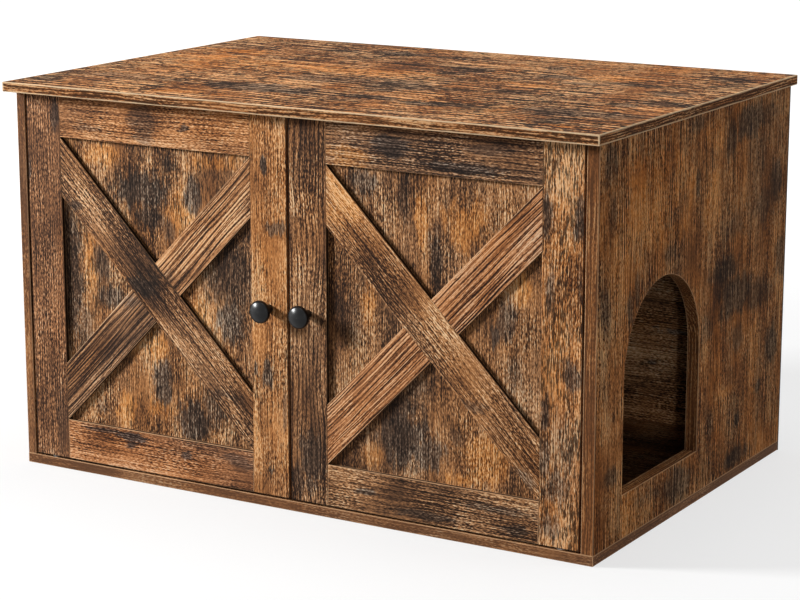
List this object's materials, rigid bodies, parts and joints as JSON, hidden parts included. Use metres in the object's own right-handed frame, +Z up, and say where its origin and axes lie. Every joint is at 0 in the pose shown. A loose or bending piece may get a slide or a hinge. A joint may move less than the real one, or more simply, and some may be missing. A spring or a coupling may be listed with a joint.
{
  "type": "cat litter box cabinet",
  "caption": "Low cabinet that hides a litter tray behind cross-braced doors with black knobs, with an arched cat entrance in its right side.",
  "frame": {"origin": "on the floor, in the middle of the body's footprint", "axes": "+X to the right along the front, +Y from the doors to the back board, +Z up"},
  "size_m": [0.8, 0.5565, 0.48],
  "materials": {
    "printed_board": "particle board with a satin rustic brown wood print, dark smudges and knots",
    "door_board_print": "satin rustic brown wood print, upright grain, charcoal blotches",
    "door_strip_print": "satin rustic brown wood print, grain along each strip",
    "back_fibreboard": "thin fibreboard, wood print on the inner face, plain dark brown outside",
    "black_knob": "satin black",
    "zinc_steel": "zinc plated",
    "beech_dowel": "plain beech",
    "white_nylon": "plain nylon",
    "catch_plastic": "dark brown moulded plastic",
    "magnet_ferrite": "dull ferrite grey"
  },
  "bodies": {
    "cabinet": {"top_panel": "printed_board", "bottom_panel": "printed_board", "left_side_panel": "printed_board", "right_side_panel": "printed_board", "divider_panel": "printed_board", "back_board": "back_fibreboard", "back_board_nails": "zinc_steel", "divider_brackets": "zinc_steel", "divider_bracket_screws": "zinc_steel", "left_cam_locks": "zinc_steel", "right_cam_locks": "zinc_steel", "cam_bolts": "zinc_steel", "wood_dowels": "beech_dowel", "upper_pivot_bushes": "white_nylon", "lower_pivot_bushes": "white_nylon", "catch_housings": "catch_plastic", "catch_magnets": "magnet_ferrite", "catch_screws": "zinc_steel"},
    "left_door": {"left_door_board": "door_board_print", "left_hinge_stile": "door_strip_print", "left_meeting_stile": "door_strip_print", "left_top_rail": "door_strip_print", "left_bottom_rail": "door_strip_print", "left_long_brace": "door_strip_print", "left_upper_short_brace": "door_strip_print", "left_lower_short_brace": "door_strip_print", "left_knob": "black_knob", "left_knob_screw": "zinc_steel", "left_strike_plate": "zinc_steel", "left_strike_screws": "zinc_steel", "left_upper_pivot_pin": "zinc_steel", "left_lower_pivot_pin": "zinc_steel", "left_thrust_washer": "white_nylon"},
    "right_door": {"right_door_board": "door_board_print", "right_hinge_stile": "door_strip_print", "right_meeting_stile": "door_strip_print", "right_top_rail": "door_strip_print", "right_bottom_rail": "door_strip_print", "right_long_brace": "door_strip_print", "right_upper_short_brace": "door_strip_print", "right_lower_short_brace": "door_strip_print", "right_knob": "black_knob", "right_knob_screw": "zinc_steel", "right_strike_plate": "zinc_steel", "right_strike_screws": "zinc_steel", "right_upper_pivot_pin": "zinc_steel", "right_lower_pivot_pin": "zinc_steel", "right_thrust_washer": "white_nylon"}
  },
  "joints": [
    {"name": "left_door_hinge", "type": "hinge", "parent": "cabinet", "child": "left_door", "pos_m": [-0.3535, -0.255, 0.014], "axis": [0, 0, -1], "range_deg": [0, 110]},
    {"name": "right_door_hinge", "type": "hinge", "parent": "cabinet", "child": "right_door", "pos_m": [0.3505, -0.255, 0.014], "axis": [0, 0, 1], "range_deg": [0, 110]}
  ]
}
